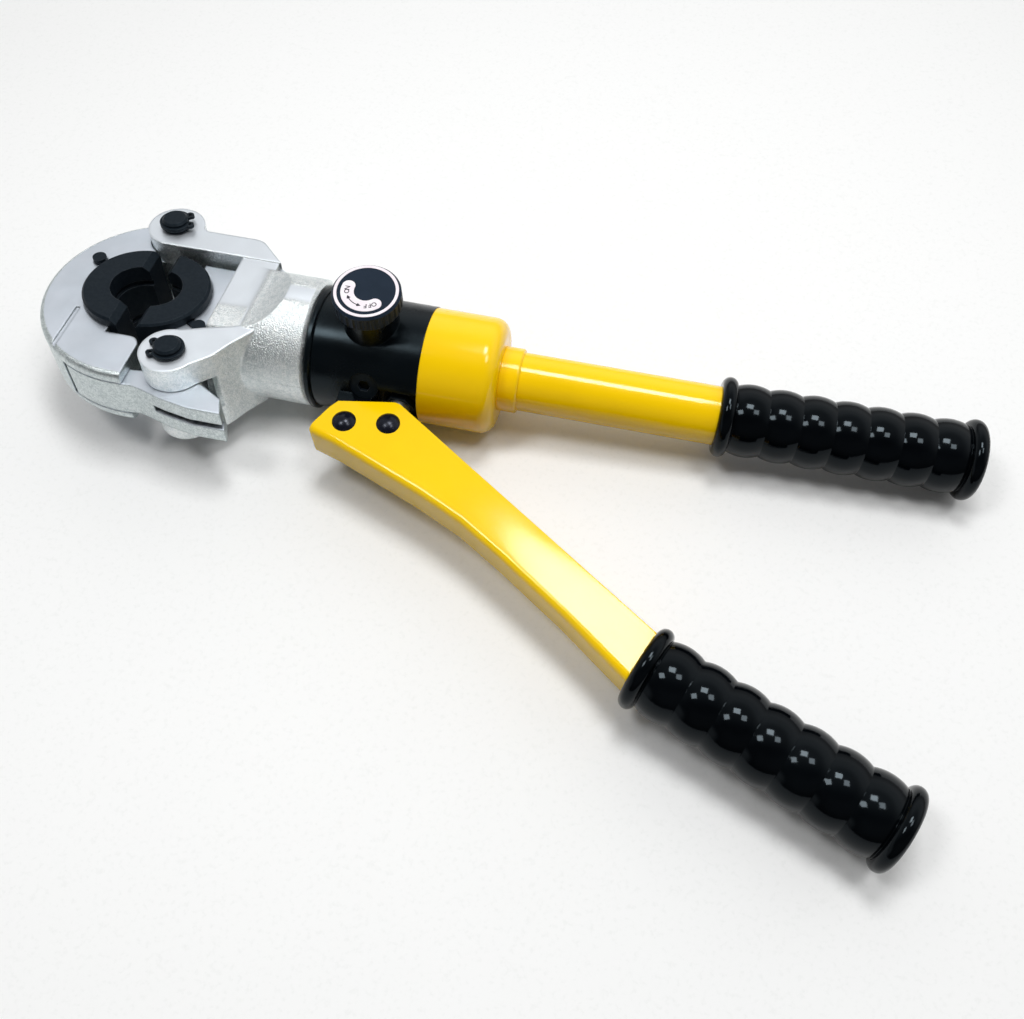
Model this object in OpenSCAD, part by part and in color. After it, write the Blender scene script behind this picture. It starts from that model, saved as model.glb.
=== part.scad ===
// Hydraulic crimping tool with a swivelling flip jaw head, a hand pump lever and an oil filled handle.
// X runs along the tool towards the grip, Z is the release knob's axis, the lever lies on the -Y side.
// The origin is the centre of the front die's bore, on the tool's axis.

/* [Head] */
// Turn of the whole head about the tool's axis, in degrees
head_turn = -9; // [-20:1:20]
// Thickness across the forked arms
head_thick = 44; // [40:0.5:52]
// Gap between the two plates of each fork
fork_gap = 19.4; // [16:0.2:22]
// Face of the throat behind the die carrier
throat_x = 41.3; // [40:0.1:46]
// Diameter of the neck
neck_d = 59; // [54:0.5:64]
// Sideways offset of the neck casting
neck_shift = 2; // [0:0.1:3]
// Rear face of the neck
neck_end = 86.3; // [84:0.1:92]
// Hinge pin place along the tool
hinge_x = 3.3; // [1:0.1:6]
// Hinge pin place across the tool
hinge_y = 40.5; // [40:0.1:43]
// Radius of the hinge eye
hinge_eye_r = 13.3; // [12.6:0.1:14]
// Lock pin place along the tool
lock_x = 32; // [30:0.1:34]
// Lock pin place across the tool, on the lever side
lock_y = 38.6; // [38:0.1:40]
// Radius of the lock eye
lock_eye_r = 13; // [12.5:0.1:14]
// Diameter of the hinge and lock pins
pin_d = 12; // [10:0.2:13]
// Height of the hinge pin above the frame
hinge_pin_rise = 5.2; // [4.4:0.2:8]
// Height of the lock pin above the frame
lock_pin_rise = 4.2; // [3.6:0.2:8]
// Inner face of the hinge arm
arm_in_y = 27.2; // [26.6:0.1:28]
// Where the hinge arm starts to round off towards the neck
arm_bend_x = 43; // [41.5:0.5:46]
// Radius of the hinge arm's round shoulder
arm_round_r = 9; // [7:0.5:11]
// Radius of the hinge arm's hollow foot
foot_r = 15.5; // [13:0.5:18]
// Where the hinge arm's foot ends on the neck
foot_end_x = 70; // [67:0.5:73]
// End of the deep part of the lock lever's slot
tail_slot_x = 48.4; // [46.5:0.1:49.5]
// Wall behind the lock lever's tail
tail_wall_y = 37.4; // [36:0.1:37.8]
// Where the lock arm's back meets the neck
arm_foot_x = 57.5; // [55:0.5:62]
// Outer radius of the fillet between eye and hinge arm
arm_fillet_r = 4.5; // [3:0.5:6]
// Length of the milled flats, up to the neck
flat_end_x = 51; // [48:0.5:56]
// Step from the arms' tops down to the neck's flats
flat_drop = 0.6; // [0.3:0.1:1]
// Radius of the run-out of the flats
flat_runout_r = 34; // [24:1:40]
// Edge radius of the neck's rear end
neck_edge = 1.5; // [0.5:0.1:3]

/* [Jaw and lock] */
// Radius of the jaw's outer edge
jaw_r = 51.8; // [50.6:0.1:53]
// Centre of the jaw's outer edge along the tool
jaw_shift = 8.1; // [7.5:0.1:8.6]
// Thickness of the jaw
jaw_thick = 29.2; // [27:0.2:32]
// Rounding of the jaw's outer edge
jaw_round = 2.6; // [1:0.1:4]
// End face of the jaw's free lobe
jaw_end_x = 12.6; // [11:0.1:14]
// Inner edge of the jaw's free lobe
jaw_lobe_y = 27.6; // [26.4:0.1:28.5]
// Corner radius of the lobe
lobe_round = 5; // [2:0.2:6]
// Radius of the hinge knuckle
knuckle_r = 12.4; // [11:0.1:12.6]
// Height of the lock lever
lock_thick = 18.4; // [15:0.2:18.6]
// Front face of the lock lever's arm, ahead of the die centre
lock_tip_x = 15.6; // [14:0.1:16.5]
// Thickness of the lock lever's arm, inside the jaw's outer edge
lock_arm_thick = 9.6; // [8.8:0.1:10.2]
// Open gap between the arm's front face and the jaw
lock_tip_gap = 1.8; // [1:0.1:2.4]
// Hook depth at the tip of the arm
lock_hook = 1.2; // [0.8:0.1:1.4]
// Length of the hook along the arm
lock_hook_len = 5.5; // [4:0.1:7]
// Slack between hook and jaw, taken up as the lock opens
lock_slack = 4.2; // [3.8:0.1:5]
// End of the lock lever's tail
tail_x = 60; // [56:0.5:62]
// Outer edge of the tail at its end
tail_y = 58; // [57:0.1:59]
// Thickness of the tail at its end
tail_thick = 8.2; // [6:0.1:9]
// Groove in the tail's outer face, height
tail_groove = 3.6; // [2:0.2:5]
// Groove in the tail's outer face, depth
tail_groove_depth = 4; // [2:0.1:4.5]
// Width of the straight groove across the jaw's flat
jaw_line = 2; // [1:0.1:3]
// Depth of the straight groove across the jaw's flat
jaw_line_depth = 0.7; // [0.3:0.1:1.5]

/* [Dies and ram] */
// Outer radius of the dies
die_r = 24.7; // [23.5:0.1:25]
// Thickness of the dies
die_thick = 38.6; // [34:0.2:40]
// Diameter of the closed dies' bore
die_bore = 24.2; // [16:0.2:26]
// Gap between the dies' end faces at rest
die_gap = 9; // [8:0.1:10]
// Bevel along the dies' end faces
die_bevel = 2.7; // [1:0.1:3.5]
// Edge chamfer round the dies
die_chamfer = 1; // [0.5:0.1:2]
// Width of a ring groove in the bore
bore_groove = 3; // [2:0.2:4]
// Depth of a ring groove in the bore
bore_groove_depth = 1.2; // [0.6:0.1:2]
// Far half width of the die carrier
carrier_far = 24.7; // [23:0.1:25.5]
// Near half width of the die carrier
carrier_near = 21; // [20.4:0.1:21.3]
// Diameter of the ram
ram_d = 32.9; // [28:0.1:34]
// Rear end of the ram at rest
ram_end_x = 76; // [70:0.5:78]
// Diameter of the die buttons
button_d = 6.4; // [5:0.1:7]
// Distance of a button from the die's centre
button_reach = 31; // [30.4:0.1:31.6]
// Angle of the buttons round the die, from the tool's axis
button_angle = 31.5; // [28:0.5:34]
// Height of a button above its flat
button_rise = 2.6; // [2.4:0.1:3]
// Length of a button
button_len = 11; // [9:0.5:13]
// Travel of a button
button_travel = 2.4; // [2:0.1:2.4]
// Width of the button's key towards the die
key_w = 3.2; // [2.4:0.1:3.6]
// Height of the button's key
key_h = 3; // [2:0.1:3.5]

/* [Pump body] */
// Front face of the swivel ring
ring_x = 86.6; // [86.6:0.1:92.3]
// Diameter of the swivel ring
ring_d = 57; // [55.4:0.2:60]
// Width of the swivel ring
ring_w = 3; // [2:0.1:4]
// Diameter of the pump body
body_d = 54; // [52:0.5:55]
// Rear end of the pump body
body_end_x = 138.3; // [137:0.1:142]
// Diameter of the swivel spigot
spigot_d = 42; // [38:0.5:44]
// Length of the swivel spigot
spigot_len = 17.4; // [15:0.2:19]
// Wire of the swivel's retaining ring
swivel_wire_d = 2.4; // [1.8:0.1:3]
// Release knob place along the tool
knob_x = 113.2; // [111:0.1:115]
// Diameter of the release knob
knob_d = 30; // [26:0.5:32]
// Top face of the release knob
knob_top = 46.5; // [43:0.5:47]
// Height of the release knob
knob_h = 9.5; // [9:0.5:13]
// Diameter of the boss under the knob
knob_boss_d = 25; // [20:0.5:26]
// Diameter of the release spindle
spindle_d = 8; // [6:0.2:9]
// Number of flutes round the knob
knob_flutes = 30; // [20:1:40]
// Distance of the lever side's flat from the tool's axis
relief_y = 21.6; // [20:0.1:22.4]
// Diameter of the round plug beside the lever
plug_d = 13; // [10:0.5:14]

/* [Lever and plunger] */
// Lever fulcrum along the tool
fulcrum_x = 110.5; // [109:0.1:113]
// Lever fulcrum across the tool, on the lever side
fulcrum_y = 43.1; // [42.4:0.1:44]
// Distance from fulcrum to plunger pin along the tool
plunger_dx = 19.2; // [18.6:0.1:20]
// Distance from fulcrum to plunger pin across the tool
plunger_dy = 2.8; // [2:0.1:3.2]
// Diameter of the lever pins
lever_pin_d = 8; // [7:0.1:8.4]
// Diameter of the pins' dome heads
pin_head_d = 10.6; // [10:0.2:12]
// Height of the pins' dome heads
pin_head_h = 2.2; // [1.5:0.1:3]
// Height of the lever channel
lever_h = 19; // [18.4:0.2:20]
// Wall of the lever channel
lever_wall = 2.4; // [2:0.1:2.5]
// Outward angle of the lever's grip, in degrees
lever_angle = 22.9; // [22:0.1:26]
// Distance along the tool from fulcrum to the lever grip's first flange
lever_grip_dx = 146.6; // [145:0.2:150]
// Distance across the tool from fulcrum to the lever grip's first flange
lever_grip_dy = 81.6; // [81:0.1:83]
// Diameter of the tang inside the lever grip
tang_d = 22; // [20:0.2:23]
// Diameter of the plunger
plunger_d = 10; // [8:0.2:11]
// Inner end of the plunger from the tool's axis
plunger_in_y = 14; // [13:0.5:16]
// Half height of the plunger's eye block
eye_half = 6; // [5:0.1:6.4]
// Thickness of the fulcrum lug
lug_h = 13; // [10:0.2:13.2]
// Radius of the fulcrum lug
lug_r = 7.4; // [6.8:0.1:7.6]

/* [Handle] */
// Where the sleeve's straight part ends
sleeve_straight_x = 165.4; // [162:0.2:168]
// Rear end of the tank sleeve
sleeve_end_x = 172.4; // [171.4:0.1:174]
// Diameter of the tank sleeve
sleeve_d = 53.4; // [52:0.2:54]
// Diameter of the handle collar
collar_d = 29.7; // [29:0.1:31]
// End of the handle collar
collar_end_x = 181.2; // [179:0.2:184]
// Outer diameter of the handle tube
tube_d = 26.8; // [26:0.1:27.2]
// Wall of the handle tube
tube_wall = 2.4; // [2:0.1:3]
// Middle of the handle grip's first flange
grip_x = 274.4; // [270:0.2:280]
// Distance between the flange middles of a grip
grip_len = 108.1; // [100:0.5:112]
// Diameter of the grip flanges
flange_d = 36.3; // [34:0.1:38]
// Width of a grip flange
flange_w = 7; // [5:0.2:8]
// Diameter over the grip's ribs
rib_d = 33; // [32:0.1:34]
// Diameter in the grip's valleys
valley_d = 30; // [29.4:0.1:31]
// Number of ribs between the flanges
grip_ribs = 7; // [5:1:9]

/* [Fits] */
// Running clearance on radius
run_gap = 0.05; // [0.02:0.01:0.09]
// Free gap between moving pieces
free_gap = 0.5; // [0.4:0.05:0.6]
// Overrun of cuts past a face
over = 1; // [0.5:0.1:2]

/* [Hidden] */
$fn = 72;
half_head = head_thick / 2;
half_fork = fork_gap / 2;
plate = half_head - half_fork;
half_jaw = jaw_thick / 2;
half_die = die_thick / 2;
half_lock = lock_thick / 2;
lock_arm_y = jaw_r - lock_arm_thick;
neck_r = neck_d / 2;
pin_r = pin_d / 2;
bore_r = die_bore / 2;
button_r = button_d / 2;
ram_r = ram_d / 2;
ring_r = ring_d / 2;
body_r = body_d / 2;
spigot_r = spigot_d / 2;
knob_r = knob_d / 2;
half_lever = lever_h / 2;
lever_pin_r = lever_pin_d / 2;
plunger_r = plunger_d / 2;
tube_r = tube_d / 2;
sleeve_r = sleeve_d / 2;
flange_r = flange_d / 2;
body_x = ring_x + ring_w;
plunger_x = fulcrum_x + plunger_dx;
plunger_y = fulcrum_y - plunger_dy;
socket_end_x = neck_end + spigot_len + free_gap;
clip_r = pin_r * 1.22;
clip_h = pin_r / 4;
clip_turns = [20, 190];
spring_wire = pin_r / 8;
size_all = body_end_x * 4;

// Everything that turns with the head is drawn flat and turned once.
module head_pose() {
  rotate([head_turn, 0, 0]) children();
}

// A turned shape whose axis is the tool's axis, its profile given as radius and place.
module along_x(at) {
  translate([at, 0, 0]) rotate([0, 90, 0]) rotate_extrude() children();
}

module rod_x(r, from, to) {
  translate([from, 0, 0]) rotate([0, 90, 0]) cylinder(r = r, h = to - from);
}

module rod_z(r, from, to) {
  translate([0, 0, from]) cylinder(r = r, h = to - from);
}

// Flat slab between two heights, cut from a plan outline.
module slab(from, to) {
  translate([0, 0, from]) linear_extrude(to - from) children();
}

module both_sides() {
  children();
  mirror([0, 0, 1]) children();
}

// The hinge arm leaves its shoulder and meets its foot at half a right angle.
shoulder_x = arm_bend_x + arm_round_r * sin(45);
shoulder_y = hinge_y - arm_round_r * (1 - cos(45));
foot_y = shoulder_x + shoulder_y + foot_r * sqrt(2) - foot_end_x;

// Plan of the hinge arm: eye, straight strip, round shoulder and slope down to the neck.
module hinge_arm_plan() {
  translate([hinge_x, hinge_y]) circle(hinge_eye_r);
  polygon([[hinge_x, arm_in_y], [hinge_x, hinge_y], [arm_bend_x, hinge_y], [arm_bend_x, shoulder_y],
    [shoulder_x, shoulder_y], [shoulder_x + shoulder_y - arm_in_y, arm_in_y]]);
  translate([arm_bend_x, hinge_y - arm_round_r]) intersection() {
    circle(arm_round_r);
    square(arm_round_r);
  }
  difference() {
    translate([hinge_x, hinge_y]) square([hinge_eye_r + arm_fillet_r, arm_fillet_r]);
    translate([hinge_x + hinge_eye_r + arm_fillet_r * 0.8, hinge_y + arm_fillet_r]) circle(arm_fillet_r);
    translate([hinge_x + hinge_eye_r + arm_fillet_r * 0.8, hinge_y])
      square([arm_fillet_r, arm_fillet_r + over]);
  }
}

// Shoulder of the neck inside the hinge arm.
module hinge_base_plan() {
  translate([throat_x, 0]) square([shoulder_x + shoulder_y - arm_in_y - over - throat_x, arm_in_y + over / 2]);
}

// Hollow foot between the slope of the hinge arm and the neck.
module hinge_foot_plan() {
  foot_in_x = throat_x + plate / 2;
  difference() {
    translate([foot_in_x, 0]) square([foot_end_x - foot_in_x, foot_y - foot_r * cos(45)]);
    translate([foot_end_x, foot_y]) circle(foot_r + run_gap * 4);
  }
}

// Plan of the lock arm: eye and a teardrop that tapers into the neck.
module lock_arm_plan() {
  translate([lock_x, -lock_y]) circle(lock_eye_r);
  polygon([[lock_x, lock_eye_r - lock_y], [throat_x, -carrier_near - over],
    [arm_foot_x + plate * 0.45, -plate * 1.2], [arm_foot_x + plate * 0.45, -plate * 1.55],
    [arm_foot_x - over, -arm_in_y - over], [throat_x + plate * 0.8, -lock_y + over],
    [throat_x + plate / 4, -lock_y - plate * 0.43], [lock_x + lock_eye_r / 2, -lock_y - lock_eye_r * 0.866],
    [lock_x, -lock_y]]);
}

module neck_profile() {
  polygon([[0, throat_x], [neck_r, throat_x], [neck_r, neck_end - neck_edge],
    [neck_r - neck_edge, neck_end], [0, neck_end]]);
}

module head_frame() {
  color([0.78, 0.8, 0.82]) head_pose() difference() {
    union() {
      difference() {
        translate([0, neck_shift, 0]) along_x(0) neck_profile();
        both_sides() {
          translate([0, -size_all / 2, half_head - flat_drop]) cube([flat_end_x, size_all, size_all]);
          translate([flat_end_x, 0, half_head - flat_drop + flat_runout_r]) rotate([90, 0, 0])
            cylinder(r = flat_runout_r, h = size_all, center = true);
        }
      }
      slab(-half_head, half_head) hinge_arm_plan();
      slab(flat_drop - half_head, half_head - flat_drop) hinge_base_plan();
      slab(-half_head * 0.85, half_head * 0.85) hinge_foot_plan();
      slab(-half_head, half_head) lock_arm_plan();
      rod_x(spigot_r, neck_end - over, neck_end + spigot_len);
    }
    // Fork for the jaw's knuckle, swept round the hinge pin.
    slab(-half_fork, half_fork) {
      translate([hinge_x, hinge_y]) circle(hinge_eye_r + free_gap);
      translate([hinge_x, 0]) square([hinge_eye_r + free_gap, hinge_y]);
      translate([hinge_x - size_all, 0]) square([size_all, size_all]);
    }
    // Fork for the lock lever, open towards the outside and behind the tail.
    slab(-half_fork, half_fork) {
      translate([-size_all, -size_all]) square([size_all + throat_x, size_all]);
      translate([0, -size_all - carrier_near - over]) square([tail_slot_x, size_all]);
      translate([0, -size_all - tail_wall_y]) square([size_all, size_all]);
      translate([lock_x, -lock_y]) circle(lock_eye_r + free_gap);
    }
    // Throat and ram bore.
    rod_x(ram_r + run_gap, throat_x - over, ram_end_x + plate);
    rod_x(ram_r / 4, throat_x, size_all);
    // Pin bores.
    translate([hinge_x, hinge_y, 0]) rod_z(pin_r, -size_all, size_all);
    translate([lock_x, -lock_y, 0]) rod_z(pin_r, -size_all, size_all);
    // Grooves of the spigot for the retaining wire and the seal.
    along_x(body_x + spigot_len * 0.22) translate([spigot_r, 0]) circle(swivel_wire_d / 2 + free_gap);
    along_x(body_x + spigot_len * 0.5)
      translate([spigot_r - swivel_wire_d, 0]) square([swivel_wire_d + over, swivel_wire_d + free_gap]);
  }
}

module plain_pin(rise, clip_at) {
  difference() {
    union() {
      rod_z(pin_r, -half_head - over, half_head + rise);
      rod_z(pin_r * 1.4, -half_head - pin_r / 2, -half_head);
    }
    rotate_extrude() translate([pin_r - clip_h / 2, clip_at - run_gap])
      square([clip_h, clip_h + run_gap * 2]);
    rotate_extrude() polygon([[pin_r - over, half_head + rise], [pin_r + over, half_head + rise],
      [pin_r + over, half_head + rise - over * 2]]);
  }
}

hinge_clip_z = half_head + hinge_pin_rise - clip_h * 2.2;
lock_clip_z = half_head + clip_h / 3;

module hinge_pin() {
  color([0.16, 0.16, 0.18]) head_pose() translate([hinge_x, hinge_y, 0])
    plain_pin(hinge_pin_rise, hinge_clip_z);
}

module lock_pin() {
  color([0.16, 0.16, 0.18]) head_pose() translate([lock_x, -lock_y, 0])
    plain_pin(lock_pin_rise, lock_clip_z);
}

// Open ring with two lugs that have a hole each.
module circlip(turn) {
  lug_r = clip_r * 0.27;
  rotate([0, 0, turn]) linear_extrude(clip_h) difference() {
    union() {
      circle(clip_r);
      for (side = [-1, 1]) rotate(side * 27) translate([clip_r * 1.02, 0]) circle(lug_r);
    }
    circle(pin_r - clip_h / 2 + run_gap);
    polygon([[0, 0], [size_all, -size_all / 4], [size_all, size_all / 4]]);
    for (side = [-1, 1]) rotate(side * 27) translate([clip_r * 1.02, 0]) circle(lug_r / 2.2);
  }
}

module pin_circlips() {
  color([0.14, 0.14, 0.15]) head_pose() {
    translate([hinge_x, hinge_y, hinge_clip_z]) circlip(clip_turns[0]);
    translate([lock_x, -lock_y, lock_clip_z]) circlip(clip_turns[1]);
  }
}

// One unbroken tube wound round Z, as rings of six corners joined side to side.
module coil(r, wire, pitch, turns) {
  steps = 8 * turns;
  sides = 6;
  corner = [for (i = [0 : steps]) for (j = [0 : sides - 1])
    let (a = i * 45, b = j * 60, q = r + wire * cos(b))
    [q * cos(a), q * sin(a), pitch * i / 8 + wire * sin(b)]];
  wall = [for (i = [0 : steps - 1]) for (j = [0 : sides - 1])
    let (k = (j + 1) % sides)
    [i * sides + j, (i + 1) * sides + j, (i + 1) * sides + k, i * sides + k]];
  ends = [[for (j = [0 : sides - 1]) j], [for (j = [sides - 1 : -1 : 0]) steps * sides + j]];
  polyhedron(corner, concat(wall, ends), convexity = 4);
}

lock_coil_r = pin_r * 1.35;
lock_coil_pitch = spring_wire * 3;

module lock_spring() {
  color([0.6, 0.6, 0.62]) head_pose() translate([lock_x, -lock_y, half_lock - lock_coil_pitch * 3])
    coil(lock_coil_r, spring_wire, lock_coil_pitch, 2);
}

ram_well_r = ram_r * 0.5;
return_coil_r = ram_well_r * 0.7;
return_pitch = ram_r / 4;

module return_spring() {
  color([0.6, 0.6, 0.62]) head_pose() translate([ram_end_x + plate - spring_wire - free_gap * 0.4 - return_pitch * 8, 0, 0])
    rotate([0, 90, 0]) coil(return_coil_r, spring_wire, return_pitch, 8);
}

module swivel_seal() {
  color([0.1, 0.1, 0.1]) head_pose() along_x(body_x + spigot_len * 0.5 + swivel_wire_d / 2 + free_gap / 2)
    translate([spigot_r - swivel_wire_d / 2, 0]) circle(swivel_wire_d / 2 - run_gap);
}

// Disc with rounded rims, the outer form of the jaw.
module jaw_disc_profile() {
  square([jaw_r - jaw_round, half_jaw]);
  square([jaw_r, half_jaw - jaw_round]);
  translate([jaw_r - jaw_round, half_jaw - jaw_round]) circle(jaw_round);
}

module lobe_cut_plan() {
  difference() {
    translate([jaw_end_x - lobe_round, -jaw_lobe_y - lobe_round])
      square([lobe_round + over, lobe_round + over]);
    translate([jaw_end_x - lobe_round, -jaw_lobe_y - lobe_round]) circle(lobe_round);
  }
}

// Plan of the arm of the lock lever with its hook, grown by a gap for the pocket in the jaw.
module lock_arm_outline(gap, tip_gap) {
  intersection() {
    translate([jaw_shift, 0]) circle(jaw_r + gap * 40);
    translate([-lock_tip_x - tip_gap, -size_all])
      square([lock_tip_x + tip_gap + lock_x - lock_eye_r * 0.6, size_all - lock_arm_y + gap]);
  }
}

button_turns = [180 - button_angle, -button_angle];

module button_place(turn) {
  rotate([0, 0, turn]) translate([button_reach, 0, 0]) children();
}

key_len = button_reach - die_r + key_w / 2;

// Hole and slot for a die button, cut from the upper flat.
module button_hole() {
  rod_z(button_r + run_gap, half_jaw - button_len - button_travel - over, half_jaw + over);
  translate([-key_len - over, -key_w / 2 - free_gap, half_jaw - key_h - button_travel - over])
    cube([key_len + over, key_w + free_gap * 2, key_h + button_travel + over * 2]);
}

module latch_jaw() {
  color([0.74, 0.77, 0.8]) head_pose() difference() {
    union() {
      difference() {
        translate([jaw_shift, 0, 0]) both_sides() rotate_extrude() jaw_disc_profile();
        // Room for the dies and everything behind the free lobe.
        slab(-size_all, size_all) {
          circle(die_r);
          translate([-lock_slack, -jaw_lobe_y]) square([size_all, jaw_lobe_y]);
          translate([jaw_end_x, -size_all]) square([size_all, size_all]);
          translate([-lock_slack, 0]) square([size_all, size_all]);
          lobe_cut_plan();
        }
        slab(-size_all, size_all) translate([hinge_x, hinge_y]) circle(hinge_eye_r + free_gap);
      }
      // Knuckle tongue between the plates of the hinge fork.
      slab(-half_fork + free_gap, half_fork - free_gap) {
        translate([hinge_x, hinge_y]) circle(knuckle_r);
        intersection() {
          translate([jaw_shift, 0]) circle(jaw_r - jaw_round);
          translate([-knuckle_r - lock_slack, hinge_y - knuckle_r])
            square([knuckle_r + lock_slack + hinge_x, knuckle_r * 2]);
        }
      }
    }
    translate([hinge_x, hinge_y, 0]) rod_z(pin_r + run_gap, -size_all, size_all);
    // Pocket of the lock lever's arm and the step its hook holds.
    slab(-half_lock - free_gap, half_lock + free_gap) {
      lock_arm_outline(free_gap, lock_tip_gap);
      translate([-lock_tip_x - lock_tip_gap, -lock_arm_y])
        square([lock_hook_len + lock_slack + lock_tip_gap, lock_hook + free_gap * 2]);
    }
    // Straight line across the upper flat.
    translate([-die_r + jaw_line / 2, -jaw_r, half_jaw - jaw_line_depth])
      cube([jaw_line, jaw_r - button_reach / 2, jaw_line]);
    button_place(button_turns[0]) button_hole();
  }
}

// Half of a turned die, its end face on the bore's axis plane, the body on the -X side.
module die_profile() {
  difference() {
    polygon([[bore_r, -half_die], [die_r - die_chamfer, -half_die], [die_r, die_chamfer - half_die],
      [die_r, half_die - die_chamfer], [die_r - die_chamfer, half_die], [bore_r, half_die]]);
    for (side = [-1, 1]) translate([bore_r - over, side * half_die / 2 - bore_groove / 2])
      square([bore_groove_depth + over, bore_groove]);
  }
}

module half_die_body() {
  difference() {
    rotate_extrude() die_profile();
    translate([0, -size_all, -size_all]) cube(size_all * 2);
    both_sides() rotate([90, 0, 0]) linear_extrude(size_all, center = true)
      polygon([[-die_bevel - over, half_die + over], [over, half_die + over],
        [over, half_die - die_bevel - over]]);
    // Notch in the rim for the button's key.
    rotate([0, 0, 180 - button_angle])
      translate([die_r - key_w, -key_w / 2 - free_gap, half_jaw - key_h - button_travel - over])
      cube([key_w * 2, key_w + free_gap * 2, key_h + button_travel + over * 2]);
  }
}

module front_die() {
  color([0.13, 0.14, 0.16]) head_pose() half_die_body();
}

module rear_die() {
  color([0.13, 0.14, 0.16]) head_pose() translate([die_gap, 0, 0]) rotate([0, 0, 180]) half_die_body();
}

// Button with a key that reaches into the die's notch.
module button_body() {
  difference() {
    rod_z(button_r, half_jaw + button_rise - button_len, half_jaw + button_rise);
    rotate_extrude() polygon([[button_r - over / 2, half_jaw + button_rise + over / 2],
      [button_r + over, half_jaw + button_rise + over / 2], [button_r + over, half_jaw + button_rise - over]]);
  }
  translate([-key_len, -key_w / 2, half_jaw - key_h]) cube([key_len, key_w, key_h]);
}

module front_button() {
  color([0.12, 0.12, 0.13]) head_pose() button_place(button_turns[0]) button_body();
}

module rear_button() {
  color([0.12, 0.12, 0.13]) head_pose() translate([die_gap, 0, 0])
    button_place(button_turns[1]) button_body();
}

// Plan of the lock lever's body between hub, arm and tail end.
module lock_tail_plan() {
  polygon([[jaw_shift, -lock_arm_y - over], [lock_x, -lock_y - over],
    [lock_x + lock_eye_r * 0.8, -lock_y - over * 3], [tail_x - over * 3, tail_thick - tail_y],
    [tail_x, -tail_y], [lock_x + lock_eye_r, -tail_y], [lock_x, over * 2.4 - tail_y],
    [lock_x - lock_eye_r * 0.9, -jaw_r - over / 4], [jaw_shift + over * 5, over * 1.5 - jaw_r]]);
}

module lock_lever() {
  color([0.76, 0.79, 0.8]) head_pose() difference() {
    union() {
      slab(-half_lock, half_lock) lock_tail_plan();
      slab(-half_lock, half_lock) lock_arm_outline(0, 0);
      translate([lock_x, -lock_y, 0]) rod_z(lock_eye_r - over, -half_lock, half_lock);
      slab(-half_lock, half_lock)
        translate([-lock_tip_x, -lock_arm_y - over]) square([lock_hook_len, lock_hook + over]);
    }
    translate([lock_x, -lock_y, 0]) rod_z(pin_r + run_gap, -size_all, size_all);
    // Well for the spring round the pin.
    translate([lock_x, -lock_y, 0])
      rod_z(lock_coil_r + spring_wire + free_gap, half_lock - lock_coil_pitch * 4, size_all);
    // Groove along the tail's outer face, open at the tail's end.
    translate([lock_x - over, 0, 0]) rotate([0, 0, -4.5])
      translate([0, -size_all - tail_y + tail_groove_depth + over * 2.5, -tail_groove / 2])
      cube([tail_x, size_all, tail_groove]);
  }
}

module ram() {
  color([0.7, 0.72, 0.74]) head_pose() difference() {
    rod_x(ram_r, throat_x - free_gap, ram_end_x);
    rod_x(ram_well_r, throat_x + plate / 2, size_all);
    along_x(ram_end_x - plate / 2)
      translate([ram_r - swivel_wire_d, 0]) square([swivel_wire_d + over, swivel_wire_d + free_gap]);
  }
}

module ram_seal() {
  color([0.1, 0.1, 0.1]) head_pose() along_x(ram_end_x - plate / 2 + swivel_wire_d / 2 + free_gap / 2)
    translate([ram_r - swivel_wire_d / 2, 0]) circle(swivel_wire_d / 2 - run_gap);
}

module die_carrier() {
  color([0.72, 0.75, 0.77]) head_pose() difference() {
    slab(-half_jaw, half_jaw) difference() {
      translate([die_gap + die_r * 0.55, -carrier_near])
        square([throat_x - free_gap - die_gap - die_r * 0.55, carrier_near + carrier_far]);
      translate([die_gap, 0]) circle(die_r);
    }
    translate([die_gap, 0, 0]) button_place(button_turns[1]) button_hole();
  }
}

module swivel_ring() {
  color([0.08, 0.08, 0.09]) along_x(ring_x) difference() {
    union() {
      square([ring_r, ring_w / 2]);
      translate([0, ring_w / 2]) square([ring_r, ring_w / 2]);
    }
    translate([-over, -over]) square([spigot_r + free_gap + over, ring_w + over * 2]);
    translate([ring_r, ring_w]) rotate(45) square(over, center = true);
    translate([ring_r, 0]) rotate(45) square(over, center = true);
  }
}

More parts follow.
